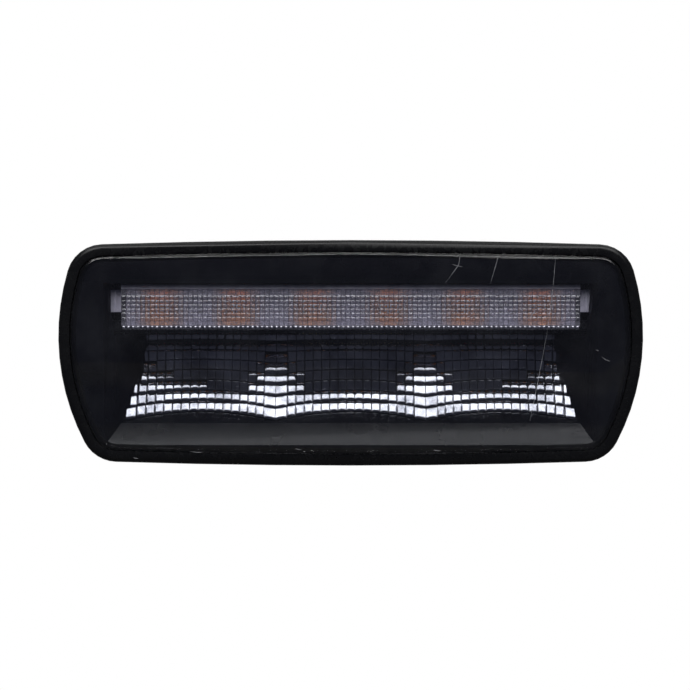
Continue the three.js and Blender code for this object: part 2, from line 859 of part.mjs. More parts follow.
// A light source package: a base with a raised emitting dome on +Y.
function makeLed() {
  const base = block(-led.length / 2, led.length / 2, 0, led.baseHeight, -led.width / 2, led.width / 2);
  const dome = rodAlongY(led.domeRadius, led.baseHeight / 2, led.height, 0, 0, 12);
  return join(base, dome);
}

const supplyHalf = ((socket.pinCount - 1) / 2) * socket.pinPitch + component.header.endRoom;

const boxOnBoard = ({ length, width, height }) =>
  block(-length / 2, length / 2, -width / 2, width / 2, 0, height);

// A box of the given inner half length, open at the top.
const openBox = (innerHalf, { width, height, wall }) =>
  cut(
    block(-innerHalf - wall, innerHalf + wall, -width / 2, width / 2, 0, height),
    block(-innerHalf, innerHalf, -width / 2 + wall, width / 2 - wall, wall, height + past),
  );

const parts = {
  chip: () => boxOnBoard(component.chip),
  capacitor: () => {
    const { base, baseHeight, radius, height } = component.capacitor;
    const foot = boxOnBoard({ length: base, width: base, height: baseHeight });
    return join(foot, rodAlongZ(radius, baseHeight / 2, height, 0, 0, 28));
  },
  diode: () => boxOnBoard(component.diode),
  resistor: () => boxOnBoard(component.resistor),
  header: () => openBox(supplyHalf, component.header),
  linkHeader: () => boxOnBoard(component.linkHeader),
};

// ---------------------------------------------------------------- socket, vent, studs, nuts and leads

const socketSealBack = tubBack + gap + socket.sealThickness;
const socketPlateFront = socketSealBack + gap;
const socketPlateBack = socketPlateFront + socket.plateThickness;
const socketMouth = socketPlateBack + socket.depth;
const socketScrewX = socket.cavityWidth / 2 + socket.wall + socket.plateMargin / 2;
const socketScrewXs = { left: socket.x - socketScrewX, right: socket.x + socketScrewX };
const pinXs = Array.from(
  { length: socket.pinCount },
  (_, i) => socket.x + (i - (socket.pinCount - 1) / 2) * socket.pinPitch,
);

const socketScrewHoles = () =>
  Object.values(socketScrewXs).map((x) =>
    screwHoleY(tubBack - 2 * tub.wall, tubBack + tub.ribHeight + past, x, socket.z),
  );

function aroundSocket(halfW, halfH, y0, y1) {
  return block(socket.x - halfW, socket.x + halfW, y0, y1, socket.z - halfH, socket.z + halfH);
}

function makeSocket() {
  const w = socket.cavityWidth / 2;
  const h = socket.cavityHeight / 2;
  const wallW = w + socket.wall;
  const wallH = h + socket.wall;
  const plateHalf = wallW + socket.plateMargin;
  const basePlate = aroundSocket(plateHalf, wallH + socket.plateLip, socketPlateFront, socketPlateBack);
  const shroud = cut(
    aroundSocket(wallW, wallH, socketPlateBack - bite, socketMouth),
    aroundSocket(w, h, socketPlateBack, socketMouth + past),
  );
  const neckFront = tubBack - socket.neckDepth;
  const neck = aroundSocket(socket.neckWidth / 2, socket.neckHeight / 2, neckFront, socketPlateFront + bite);
  const latchFoot = socket.z + wallH - bite;
  const latchTop = socket.z + wallH + latch.height;
  const latchRamp = spread(
    [
      [socketMouth - latch.back, latchFoot],
      [socketMouth - latch.front, latchFoot],
      [socketMouth - latch.back + latch.land, latchTop],
      [socketMouth - latch.back, latchTop],
    ],
    socket.x - latch.width / 2,
    socket.x + latch.width / 2,
  );
  const pinHoles = pinXs.map((x) =>
    block(
      x - socket.pinWidth / 2 - gap,
      x + socket.pinWidth / 2 + gap,
      neckFront - past,
      socketPlateBack + past,
      socket.z - socket.pinThickness / 2 - gap,
      socket.z + socket.pinThickness / 2 + gap,
    ),
  );
  const screwHoles = Object.values(socketScrewXs).map((x) =>
    screwHoleY(socketPlateFront - past, socketPlateBack + past, x, socket.z),
  );
  return cut(join(basePlate, shroud, neck, latchRamp), ...pinHoles, ...screwHoles);
}

function makeSocketSeal() {
  const halfW = socket.cavityWidth / 2 + socket.wall;
  const halfH = socket.cavityHeight / 2 + socket.wall;
  return cut(
    aroundSocket(halfW, halfH, tubBack + gap, socketSealBack),
    aroundSocket(socket.neckWidth / 2 + gap, socket.neckHeight / 2 + gap, tubBack, socketSealBack + 1),
  );
}

const makePin = (x) =>
  block(
    x - socket.pinWidth / 2,
    x + socket.pinWidth / 2,
    tubBack - socket.neckDepth - socket.pinTail,
    socketPlateBack + socket.pinReach,
    socket.z - socket.pinThickness / 2,
    socket.z + socket.pinThickness / 2,
  );

const membraneBack = tubBack + gap + vent.membraneThickness;
const makeVentMembrane = () =>
  rodAlongY(vent.membraneRadius, tubBack + gap, membraneBack, vent.x, vent.z, 32);

function makeVentCap() {
  const capBack = tubBack + vent.capHeight;
  const cup = cut(
    rodAlongY(vent.capRadius, tubBack + gap, capBack, vent.x, vent.z, 40),
    rodAlongY(vent.membraneRadius + gap, tubBack, capBack - vent.capRoof, vent.x, vent.z, 32),
  );
  const reach = vent.capRadius + past;
  const half = vent.slotWidth / 2;
  const slotBack = tubBack + vent.slotHeight;
  const slots = join(
    block(vent.x - reach, vent.x + reach, tubBack, slotBack, vent.z - half, vent.z + half),
    block(vent.x - half, vent.x + half, tubBack, slotBack, vent.z - reach, vent.z + reach),
  );
  return cut(cup, slots);
}

function makeStud(x) {
  const headMiddle = (rim.channelFloor + flangeBack) / 2;
  const headHalf = stud.headThickness / 2;
  return join(
    rodAlongY(stud.radius, headMiddle, stud.length, x, 0, 24),
    rodAlongY(stud.headRadius, headMiddle - headHalf, headMiddle + headHalf, x, 0, 6),
  );
}

function makeNut(x) {
  const flangeEnd = stud.clampGap + stud.nutFlangeThickness;
  const hexRadius = stud.nutAcross / Math.sqrt(3);
  return cut(
    join(
      rodAlongY(stud.nutFlangeRadius, stud.clampGap, flangeEnd, x, 0, 32),
      rodAlongY(hexRadius, stud.clampGap, stud.clampGap + stud.nutHeight, x, 0, 6),
    ),
    rodAlongY(stud.radius + gap, 0, stud.length, x, 0, 24),
  );
}

// An insulated wire of round section that follows a smooth curve through the points.
function makeWire(points) {
  const circle = new THREE.EllipseCurve(0, 0, lead.radius, lead.radius).getPoints(lead.sides);
  const section = new THREE.Shape(circle.slice(0, lead.sides));
  const extrudePath = new THREE.CatmullRomCurve3(points.map((p) => new THREE.Vector3(...p)));
  return solidOf(new THREE.ExtrudeGeometry(section, { steps: lead.steps, extrudePath, bevelEnabled: false }));
}

// ---------------------------------------------------------------- assembly

const lampGroup = new THREE.Group();

function addTo(parent, name, solid, material) {
  const mesh = new THREE.Mesh(geometryOf(solid), material);
  mesh.name = name;
  parent.add(mesh);
  return mesh;
}

const add = (name, solid, material) => addTo(lampGroup, name, solid, material);

add("housing", makeHousing(), blackPlastic);
add("body_gasket", makeGasket(), rubber);
add("outer_lens", makeOuterLens(), clearPlastic);
add("lens_sealant", makeSealant(), sealant);
add("inner_mask", makeMask(), glossBlack);

add("bar_lens", makeBarLens(), clearPlastic);
add("bar_light_cups", makeCups(), whiteTray);
add("bar_board", makeBarBoard(), circuitBoard);
add("bar_carrier", makeCarrier(), blackPlastic);
ledXs.forEach((x, i) => {
  const source = add(`bar_led_${i + 1}`, makeLed(), amberDie);
  source.rotation.x = Math.PI;
  source.position.set(x, barBoardFront - gap, barMidZ);
});

add("mirror_cells", makeCells(), mirror);
add("cell_board", makeCellBoard(), darkBoard);

// A light source hanging under the cell board, shining down into its bowl.
function addDownLed(name, x, material) {
  const source = add(name, makeLed(), material);
  source.rotation.x = -Math.PI / 2;
  source.position.set(x, focusY, cellBoardBottom - gap);
}
const middleCell = cellCentres[(cell.count - 1) / 2];
for (let i = 0; i < cargoLed.count; i++) {
  const x = middleCell + (i - (cargoLed.count - 1) / 2) * cargoLed.pitch;
  addDownLed(`cargo_led_${i + 1}`, x, yellowPhosphor);
}
const sideCells = { left: cellCentres[0], right: cellCentres.at(-1) };
for (const [side, centre] of Object.entries(sideCells)) {
  for (let i = 0; i < sideLed.count; i++) {
    addDownLed(`stop_led_${side}_${i + 1}`, centre + (i - (sideLed.count - 1) / 2) * sideLed.pitch, redDie);
  }
}

// Electronics on top of the cell board.
const onBoard = cellBoardTop + gap;
const layout = [
  ["driver_chip", parts.chip, places.driverChip, chipBlack],
  ["input_capacitor", parts.capacitor, places.inputCapacitor, zinc],
  ["protection_diode", parts.diode, places.protectionDiode, chipBlack],
  ...places.seriesResistors.map((place, i) => [`series_resistor_${i + 1}`, parts.resistor, place, chipBlack]),
  ["supply_header", parts.header, [socket.x, places.supplyHeaderY], whiteTray],
  ["link_header", parts.linkHeader, [slotX, places.linkHeaderY], whiteTray],
];
for (const [name, make, [x, y], material] of layout) {
  add(name, make(), material).position.set(x, y, onBoard);
}

// Screws: each stands on its tip, so it is turned to its direction and moved to its tip's place.
function addScrew(name, tip, turnX, length) {
  const made = add(name, makeScrew(length), zinc);
  made.rotation.x = turnX;
  made.position.set(...tip);
}
const headTowardsFront = Math.PI;
const headUp = Math.PI / 2;
const sides = { left: 0, right: 1 };
for (const [side, i] of Object.entries(sides)) {
  const { earX: x, ledgeX } = bossSeats[i];
  const shortScrew = carrier.thickness + board.thickness + gap + 2;
  const frontLength = screw.length + carrierBack - carrier.earFront;
  const boardScrew = cellBoardScrews[i];
  const carrierTip = carrier.earFront - gap + frontLength;
  const boardTip = barBoardFront - gap + shortScrew;
  const cellTip = flangeTopZ + gap - screw.cellLength;
  const upTip = cellBoardTop + gap - screw.shortLength;
  const backTip = socketPlateBack + gap - screw.shortLength;
  addScrew(`carrier_screw_${side}`, [x, carrierTip, earZ], headTowardsFront, frontLength);
  addScrew(`bar_board_screw_${side}`, [barScrewXs[i], boardTip, barScrewZ], headTowardsFront, shortScrew);
  addScrew(`mirror_screw_${side}`, [ledgeX, reflectorScrewY, cellTip], headUp, screw.cellLength);
  addScrew(`cell_board_screw_${side}`, [boardScrew.x, boardScrew.y, upTip], headUp, screw.shortLength);
  addScrew(`socket_screw_${side}`, [socketScrewXs[side], backTip, socket.z], 0, screw.shortLength);
}

add("connector_socket", makeSocket(), blackPlastic);
add("socket_seal", makeSocketSeal(), silicone);
pinXs.forEach((x, i) => add(`terminal_${i + 1}`, makePin(x), brass));
add("vent_membrane", makeVentMembrane(), whiteTray);
add("vent_cap", makeVentCap(), rubber);

for (const [side, x] of Object.entries(studSeats)) {
  add(`stud_${side}`, makeStud(x), zinc);
  add(`flange_nut_${side}`, makeNut(x), zinc);
}

// Leads from the socket's terminals down to the supply header, and from the link header to the bar's board.
const leadStart = tubBack - socket.neckDepth - socket.pinTail - gap;
const supplyColours = [redWire, blackWire, whiteWire, redWire];
pinXs.forEach((x, i) => {
  const y = places.supplyHeaderY;
  const route = [
    [x, leadStart, socket.z],
    [x, leadStart - 3, socket.z + 0.4],
    [x, y + 3, socket.z + 0.6],
    [x, y + 0.6, socket.z - 0.6],
    [x, y, onBoard + component.header.wall + gap],
  ];
  add(`supply_lead_${i + 1}`, makeWire(route), supplyColours[i]);
});
[-lead.linkHalfPitch, lead.linkHalfPitch].forEach((dx, i) => {
  const x = slotX + dx;
  const y = places.linkHeaderY;
  const route = [
    [x, y, onBoard + component.linkHeader.height + gap],
    [x, y - 0.4, slotZ - 1.6],
    [x, y - 3.5, slotZ],
    [x, barBoardBack + gap, slotZ],
  ];
  add(`link_lead_${i + 1}`, makeWire(route), [redWire, blackWire][i]);
});

export default lampGroup;
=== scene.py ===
import math

import bmesh
import bpy
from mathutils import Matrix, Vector, noise


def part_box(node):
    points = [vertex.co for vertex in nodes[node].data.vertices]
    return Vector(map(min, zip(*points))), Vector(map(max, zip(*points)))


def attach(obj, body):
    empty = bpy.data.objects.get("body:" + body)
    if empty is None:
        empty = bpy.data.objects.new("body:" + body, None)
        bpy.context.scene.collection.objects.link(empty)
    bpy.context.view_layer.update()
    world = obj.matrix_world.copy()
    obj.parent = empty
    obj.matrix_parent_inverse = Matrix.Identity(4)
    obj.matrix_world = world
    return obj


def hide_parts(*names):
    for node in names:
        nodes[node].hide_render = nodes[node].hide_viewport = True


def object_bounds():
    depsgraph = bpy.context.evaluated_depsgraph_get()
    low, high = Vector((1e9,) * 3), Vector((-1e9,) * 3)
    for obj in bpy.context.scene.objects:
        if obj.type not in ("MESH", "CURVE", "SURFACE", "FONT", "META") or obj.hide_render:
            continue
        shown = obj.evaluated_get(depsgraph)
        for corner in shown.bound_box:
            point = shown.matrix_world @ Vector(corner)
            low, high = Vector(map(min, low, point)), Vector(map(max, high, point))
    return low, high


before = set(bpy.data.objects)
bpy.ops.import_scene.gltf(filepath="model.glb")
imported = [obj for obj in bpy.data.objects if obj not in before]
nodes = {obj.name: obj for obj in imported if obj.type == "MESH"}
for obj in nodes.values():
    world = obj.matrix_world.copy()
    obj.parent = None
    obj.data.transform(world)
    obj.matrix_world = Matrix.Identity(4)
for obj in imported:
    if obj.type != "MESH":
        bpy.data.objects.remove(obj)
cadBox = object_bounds()
mm = 0.001

# camera first: nearly straight on, a touch above the lamp
viewPoint = {"aim": (-3.1, -20, 4.35), "distance": 1300, "elevation": 2.0, "sensor": 36, "frameWidth": 375.1,
             "clip": (0.05, 60)}
aim = Vector(viewPoint["aim"]) * mm
tilt = math.radians(viewPoint["elevation"])
camData = bpy.data.cameras.new("camera")
camData.sensor_width = viewPoint["sensor"]
camData.lens = viewPoint["sensor"] * viewPoint["distance"] / viewPoint["frameWidth"]
camera = bpy.data.objects.new("camera", camData)
bpy.context.scene.collection.objects.link(camera)
away = Vector((0, -math.cos(tilt), math.sin(tilt)))
camera.location = aim + away * viewPoint["distance"] * mm
camera.rotation_euler = (-away).to_track_quat("-Z", "Y").to_euler()
camData.clip_start, camData.clip_end = viewPoint["clip"]
bpy.context.scene.camera = camera
bpy.context.scene.view_settings.view_transform = "Standard"
print("camera set")


# shader helpers, then one function for each finish
def addNode(tree, kind, **settings):
    node = tree.nodes.new("ShaderNode" + kind)
    for key, value in settings.items():
        if hasattr(node, key):
            setattr(node, key, value)
        else:
            node.inputs[key.replace("_", " ")].default_value = value
    return node


def join(tree, a, b):
    tree.links.new(a, b)


def startMaterial(name, metallic=0.0, **sockets):
    made = bpy.data.materials.new(name)
    made.use_nodes = True
    tree = made.node_tree
    shader = tree.nodes["Principled BSDF"]
    shader.inputs["Metallic"].default_value = metallic
    for key, value in sockets.items():
        shader.inputs[key.replace("_", " ")].default_value = value
    coords = addNode(tree, "TexCoord")
    return made, tree, shader, coords.outputs["Object"]


def noiseOf(tree, place, scale, detail=3.0, roughness=0.55):
    made = addNode(tree, "TexNoise", Scale=scale, Detail=detail, Roughness=roughness)
    join(tree, place, made.inputs["Vector"])
    return made.outputs["Fac"]


def ramp(tree, source, stops):
    made = addNode(tree, "ValToRGB")
    elements = made.color_ramp.elements
    while len(elements) < len(stops):
        elements.new(0.5)
    for element, (at, colour) in zip(elements, stops):
        element.position = at
        element.color = colour if len(colour) == 4 else (*colour, 1)
    join(tree, source, made.inputs["Fac"])
    return made.outputs["Color"]


def grey(value):
    return (value, value, value)


def spread(tree, source, low, high, start=0.35, end=0.65):
    made = addNode(tree, "MapRange")
    for key, value in (("From Min", start), ("From Max", end), ("To Min", low), ("To Max", high)):
        made.inputs[key].default_value = value
    join(tree, source, made.inputs["Value"])
    return made.outputs["Result"]


def bump(tree, shader, height, distance, strength=1.0):
    made = addNode(tree, "Bump", Strength=strength, Distance=distance)
    join(tree, height, made.inputs["Height"])
    join(tree, made.outputs["Normal"], shader.inputs["Normal"])


def plasticOf(name, dark, light, rough, grain=0.0, grainScale=1500.0, cloudScale=40.0, **sockets):
    # moulded plastic or rubber: cloudy colour, uneven gloss and a fine grain
    made, tree, shader, place = startMaterial(name, **sockets)
    clouds = noiseOf(tree, place, cloudScale, 5.0)
    join(tree, ramp(tree, clouds, [(0.3, dark), (0.7, light)]), shader.inputs["Base Color"])
    join(tree, spread(tree, noiseOf(tree, place, cloudScale * 4), *rough), shader.inputs["Roughness"])
    if grain:
        bump(tree, shader, noiseOf(tree, place, grainScale, 2.0), grain)
    return made


housingLook = {"black": (0.006, 0.0062, 0.007), "dusty": (0.011, 0.0113, 0.012), "dustScale": 55.0,
               "rough": (0.2, 0.32), "roughScale": 260.0, "pebbleScale": 1700.0, "pebbleDepth": 0.00001}


def housingPlastic(name, look):
    # satin black moulding: fine pebble grain, faint dust and rubbed patches
    made, tree, shader, place = startMaterial(name, Specular_IOR_Level=0.24)
    dust = noiseOf(tree, place, look["dustScale"], 8.0, 0.7)
    join(tree, ramp(tree, dust, [(0.45, look["black"]), (0.85, look["dusty"])]), shader.inputs["Base Color"])
    join(tree, spread(tree, noiseOf(tree, place, look["roughScale"], 4.0), *look["rough"]),
         shader.inputs["Roughness"])
    pebbles = addNode(tree, "TexVoronoi", Scale=look["pebbleScale"])
    join(tree, place, pebbles.inputs["Vector"])
    bump(tree, shader, pebbles.outputs["Distance"], look["pebbleDepth"], 0.06)
    return made


metalGrain = {"scale": (60, 60, 60), "depth": 0.00002}


def metalOf(name, dark, light, rough, grainScale=metalGrain["scale"]):
    # plated or bare metal: colour and gloss run in streaks, stretched where the scales differ
    made, tree, shader, place = startMaterial(name, metallic=1.0)
    mapping = addNode(tree, "Mapping")
    mapping.inputs["Scale"].default_value = grainScale
    join(tree, place, mapping.inputs["Vector"])
    grainy = noiseOf(tree, mapping.outputs["Vector"], 12.0, 6.0, 0.65)
    join(tree, ramp(tree, grainy, [(0.3, dark), (0.7, light)]), shader.inputs["Base Color"])
    join(tree, spread(tree, grainy, *rough), shader.inputs["Roughness"])
    bump(tree, shader, grainy, metalGrain["depth"], 0.5)
    return made


coverLook = {"tint": (0.93, 0.935, 0.945), "rough": (0.0, 0.04), "haze": (0.0, 0.012),
             "hazeColour": (0.6, 0.62, 0.66), "mirrorHeadOn": 0.04, "mirrorFalloff": 5.0}


def paneOf(name, look):
    # clear pane: light goes straight through, the surface mirrors a little, with faint haze from wiping
    made = bpy.data.materials.new(name)
    made.use_nodes = True
    tree = made.node_tree
    tree.nodes.clear()
    out = addNode(tree, "OutputMaterial")
    place = addNode(tree, "TexCoord").outputs["Object"]
    through = addNode(tree, "BsdfTransparent", Color=(*look["tint"], 1))
    shine = addNode(tree, "BsdfGlossy", Color=(1, 1, 1, 1))
    join(tree, spread(tree, noiseOf(tree, place, 90.0, 6.0, 0.7), *look["rough"]), shine.inputs["Roughness"])
    edge = addNode(tree, "LayerWeight", Blend=0.5)
    steep = addNode(tree, "Math", operation="POWER")
    steep.inputs[1].default_value = look["mirrorFalloff"]
    join(tree, edge.outputs["Facing"], steep.inputs[0])
    pane = addNode(tree, "MixShader")
    join(tree, spread(tree, steep.outputs[0], look["mirrorHeadOn"], 1.0, 0.0, 1.0), pane.inputs["Fac"])
    join(tree, through.outputs["BSDF"], pane.inputs[1])
    join(tree, shine.outputs["BSDF"], pane.inputs[2])
    dull = addNode(tree, "BsdfDiffuse", Color=(*look["hazeColour"], 1))
    wiped = addNode(tree, "MixShader")
    smears = noiseOf(tree, place, 35.0, 8.0, 0.75)
    join(tree, spread(tree, smears, *look["haze"], 0.45, 0.8), wiped.inputs["Fac"])
    join(tree, pane.outputs["Shader"], wiped.inputs[1])
    join(tree, dull.outputs["BSDF"], wiped.inputs[2])
    join(tree, wiped.outputs["Shader"], out.inputs["Surface"])
    return made


def fold(tree, source, pitch):
    # distance from the middle of each pillow in a row of them: 0 in the middle, 0.5 in the groove
    moved = addNode(tree, "Math", operation="MULTIPLY")
    moved.inputs[1].default_value = 1 / pitch
    join(tree, source, moved.inputs[0])
    part = addNode(tree, "Math", operation="FRACT")
    join(tree, moved.outputs[0], part.inputs[0])
    centred = addNode(tree, "Math", operation="SUBTRACT")
    centred.inputs[1].default_value = 0.5
    join(tree, part.outputs[0], centred.inputs[0])
    away = addNode(tree, "Math", operation="ABSOLUTE")
    join(tree, centred.outputs[0], away.inputs[0])
    return away.outputs[0]


# the darkest colour is painted shade in the grooves between pillow columns, with the shoulder colour a step
# towards it
barLook = {"milk": (0.56, 0.54, 0.62), "milkShare": (0.085, 0.12), "rough": 0.04, "pillow": 2.604,
           "clear": (0.98, 0.97, 1.0), "shoulder": (0.9, 0.89, 0.93), "paintedGrooveShade": (0.16, 0.15, 0.18),
           "frostedEdge": 6.5, "plainBand": 2.2}


def barPlastic(name, look, milkier=1.0):
    # clear plastic with a little milkiness and painted shade darkening the grooves between pillow columns,
    # and the lamp's light let in without caustics
    made, tree, shader, place = startMaterial(name, Transmission_Weight=1.0, IOR=1.49, Specular_IOR_Level=1.0,
                                              Roughness=look["rough"], Coat_Weight=1.0, Coat_Roughness=0.05)
    parts = addNode(tree, "SeparateXYZ")
    join(tree, place, parts.inputs["Vector"])
    # painted shade: the colour darkens from the middle of each pillow column into the groove beside it
    paintedGrooveShade = spread(tree, fold(tree, parts.outputs["X"], look["pillow"] * mm), 0.0, 1.0, 0.3, 0.5)
    join(tree, ramp(tree, paintedGrooveShade, [(0.0, look["clear"]), (0.5, look["shoulder"]), (1.0, look["paintedGrooveShade"])]),
         shader.inputs["Base Color"])
    milk = addNode(tree, "BsdfDiffuse", Color=(*look["milk"], 1))
    milky = addNode(tree, "MixShader")
    least, most = (share * milkier for share in look["milkShare"])
    join(tree, spread(tree, noiseOf(tree, place, 120.0, 4.0), least, most), milky.inputs["Fac"])
    join(tree, shader.outputs["BSDF"], milky.inputs[1])
    join(tree, milk.outputs["BSDF"], milky.inputs[2])
    through = addNode(tree, "BsdfTransparent", Color=(*look["shoulder"], 1))
    rays = addNode(tree, "LightPath")
    mixed = addNode(tree, "MixShader")
    join(tree, rays.outputs["Is Shadow Ray"], mixed.inputs["Fac"])
    join(tree, milky.outputs["Shader"], mixed.inputs[1])
    join(tree, through.outputs["BSDF"], mixed.inputs[2])
    join(tree, mixed.outputs["Shader"], tree.nodes["Material Output"].inputs["Surface"])
    return made


# amber, mixed, near and far set the painted light round each emitter; silver is the coating's own colour
cupLook = {"silver": (0.5, 0.48, 0.56), "mixed": (0.6, 0.36, 0.24), "amber": (1.0, 0.4, 0.1),
           "near": 3.0, "far": 14.0, "metallic": 0.6, "rough": (0.15, 0.35)}


def cupCoating(name, ledPlaces, look):
    # coated tray: lavender silver, with painted amber light pooled round each emitter, standing in for the
    # light it throws into its own cup
    made, tree, shader, place = startMaterial(name, metallic=look["metallic"])
    parts = addNode(tree, "SeparateXYZ")
    join(tree, place, parts.inputs["Vector"])
    first, pitch = min(ledPlaces), (max(ledPlaces) - min(ledPlaces)) / (len(ledPlaces) - 1)
    shifted = addNode(tree, "Math", operation="SUBTRACT")
    shifted.inputs[1].default_value = first - pitch / 2
    join(tree, parts.outputs["X"], shifted.inputs[0])
    turn = addNode(tree, "Math", operation="MODULO")
    turn.inputs[1].default_value = pitch
    join(tree, shifted.outputs[0], turn.inputs[0])
    off = addNode(tree, "Math", operation="SUBTRACT")
    off.inputs[1].default_value = pitch / 2
    join(tree, turn.outputs[0], off.inputs[0])
    away = addNode(tree, "Math", operation="ABSOLUTE")
    join(tree, off.outputs[0], away.inputs[0])
    # painted light: strongest right beside each emitter, fading to none by the far distance
    glow = spread(tree, away.outputs[0], 1.0, 0.0, look["near"] * mm, look["far"] * mm)
    uneven = addNode(tree, "Math", operation="MULTIPLY")
    join(tree, glow, uneven.inputs[0])
    join(tree, spread(tree, noiseOf(tree, place, 160.0, 3.0), 0.55, 1.1), uneven.inputs[1])
    # painted light colours: silver away from the emitters, amber next to them
    paintedGlowColours = [(0.0, look["silver"]), (0.45, look["mixed"]), (1.0, look["amber"])]
    join(tree, ramp(tree, uneven.outputs[0], paintedGlowColours), shader.inputs["Base Color"])
    join(tree, spread(tree, noiseOf(tree, place, 300.0), *look["rough"]), shader.inputs["Roughness"])
    return made


mirrorLook = {"dark": (0.16, 0.163, 0.185), "light": (0.5, 0.505, 0.54), "rough": (0.03, 0.08),
              "peel": 0.00001}


def mirrorCoating(name, look):
    # vacuum coating: nearly a mirror, faint clouding and a little orange peel
    made, tree, shader, place = startMaterial(name, metallic=1.0)
    clouds = noiseOf(tree, place, 45.0, 6.0, 0.7)
    join(tree, ramp(tree, clouds, [(0.35, look["dark"]), (0.75, look["light"])]), shader.inputs["Base Color"])
    join(tree, spread(tree, noiseOf(tree, place, 500.0, 4.0), *look["rough"]), shader.inputs["Roughness"])
    bump(tree, shader, noiseOf(tree, place, 700.0, 2.0), look["peel"], 0.6)
    return made


def boardOf(name, base, trace):
    # lacquered board with its tracks just showing as a faint grid
    made, tree, shader, place = startMaterial(name)
    bricks = addNode(tree, "TexBrick", Scale=120.0, Mortar_Size=0.03)
    bricks.inputs["Color1"].default_value = (*base, 1)
    bricks.inputs["Color2"].default_value = (*(v * 0.92 for v in base), 1)
    bricks.inputs["Mortar"].default_value = (*trace, 1)
    join(tree, place, bricks.inputs["Vector"])
    join(tree, bricks.outputs["Color"], shader.inputs["Base Color"])
    join(tree, spread(tree, noiseOf(tree, place, 200.0), 0.28, 0.45), shader.inputs["Roughness"])
    return made


def middleX(node):
    low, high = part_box(node)
    return (low.x + high.x) / 2


ledXs = sorted(middleX(f"bar_led_{i}") for i in range(1, 7))

# one finish for each material slot: dark and light colour, gloss range, then grain depth and scales
looks = {
    "housing_plastic": housingPlastic("housing plastic", housingLook),
    "gasket_foam": plasticOf("gasket foam", grey(0.014), (0.03, 0.03, 0.032), (0.8, 0.98), 0.00012, 900.0),
    "clear_cover": paneOf("clear cover", coverLook),
    "sealant": plasticOf("sealant bead", grey(0.004), grey(0.008), (0.75, 0.95), 0.0002, 260.0,
                         Specular_IOR_Level=0.1),
    "mask_gloss_black": plasticOf("gloss black mask", (0.0035, 0.0038, 0.0052), (0.006, 0.0064, 0.009),
                                  (0.1, 0.2), 0.000006, 420.0, 30.0, Specular_IOR_Level=0.18),
    "clear_bar": barPlastic("clear bar plastic", barLook),
    "white_tray": cupCoating("cup coating", ledXs, cupLook),
    "board_white": boardOf("board lacquer", (0.62, 0.63, 0.6), (0.5, 0.42, 0.25)),
    "board_dark": boardOf("dark board lacquer", (0.012, 0.013, 0.02), (0.03, 0.03, 0.03)),
    "amber_source": plasticOf("amber emitter", (0.5, 0.14, 0.01), (0.85, 0.32, 0.04), (0.1, 0.25), 0, 1,
                              900.0),
    "white_source": plasticOf("phosphor emitter", (0.7, 0.55, 0.06), (0.9, 0.78, 0.2), (0.25, 0.5), 0, 1,
                              900.0),
    "red_source": plasticOf("red emitter", (0.35, 0.01, 0.03), (0.7, 0.02, 0.07), (0.1, 0.25), 0, 1, 900.0),
    "mirror_coating": mirrorCoating("mirror coating", mirrorLook),
    "zinc_steel": metalOf("zinc plated steel", (0.4, 0.41, 0.42), (0.66, 0.66, 0.64), (0.22, 0.45)),
    "capacitor_can": metalOf("capacitor can", (0.5, 0.5, 0.52), (0.75, 0.75, 0.77), (0.2, 0.35), (8, 8, 120)),
    "component_black": plasticOf("component epoxy", grey(0.01), grey(0.022), (0.45, 0.65), 0.00003, 1800.0),
    "brass_pin": metalOf("tinned brass", (0.5, 0.36, 0.16), (0.8, 0.64, 0.36), (0.18, 0.35), (10, 120, 10)),
    "silicone_seal": plasticOf("silicone seal", (0.3, 0.05, 0.015), (0.5, 0.12, 0.05), (0.5, 0.75), 0.00004,
                               900.0),
    "membrane_white": plasticOf("vent membrane", grey(0.6), (0.8, 0.8, 0.78), (0.75, 0.95), 0.00005, 3000.0),
    "wire_red": plasticOf("red insulation", (0.28, 0.012, 0.012), (0.45, 0.03, 0.025), (0.35, 0.5), 0.00002,
                          600.0),
    "wire_black": plasticOf("black insulation", grey(0.012), grey(0.025), (0.35, 0.5), 0.00002, 600.0),
    "wire_white": plasticOf("white insulation", (0.55, 0.52, 0.45), (0.72, 0.7, 0.64), (0.35, 0.5), 0.00002,
                            600.0),
}
barFrost = barPlastic("frosted bar edge", barLook, barLook["frostedEdge"])
barVeil = barPlastic("plain bar band", barLook, barLook["plainBand"])
# painted shade: the moulding under the mirror facets is made dark, so the gaps between facets read as shade
cellGapShade = metalOf("cell moulding with painted gap shade", (0.02, 0.021, 0.026), (0.04, 0.041, 0.05), (0.3, 0.5))
barFlute = metalOf("bright flute", (0.4, 0.39, 0.44), (0.66, 0.65, 0.7), (0.12, 0.25))
blackScrew = metalOf("blackened screw", (0.02, 0.02, 0.022), (0.05, 0.05, 0.055), (0.3, 0.5))
scuffed = plasticOf("scuffed plastic", (0.2, 0.2, 0.21), (0.5, 0.5, 0.52), (0.4, 0.7), 0.00002, 2500.0, 300.0)

# pieces whose finish differs from the rest of their slot
special = {"carrier_screw_left": blackScrew, "carrier_screw_right": blackScrew, "mirror_cells": cellGapShade}
slotOf = {name: obj.data.materials[0].name.split(".")[0] for name, obj in nodes.items()}
print("materials made:", len(looks))


def dress(obj, slotName):
    obj.data.materials.clear()
    obj.data.materials.append(looks[slotName])


for name, obj in nodes.items():
    for i in range(len(obj.data.materials)):
        obj.data.materials[i] = special.get(name, looks[slotOf[name]])
print("carried-over pieces dressed:", len(nodes))


# building helpers
soft = {"segments": 2, "flatWithin": 0.6, "weld": 0.001}   # shared by every softened copy


def inScene(name, mesh):
    made = bpy.data.objects.new(name, mesh)
    bpy.context.scene.collection.objects.link(made)
    return made


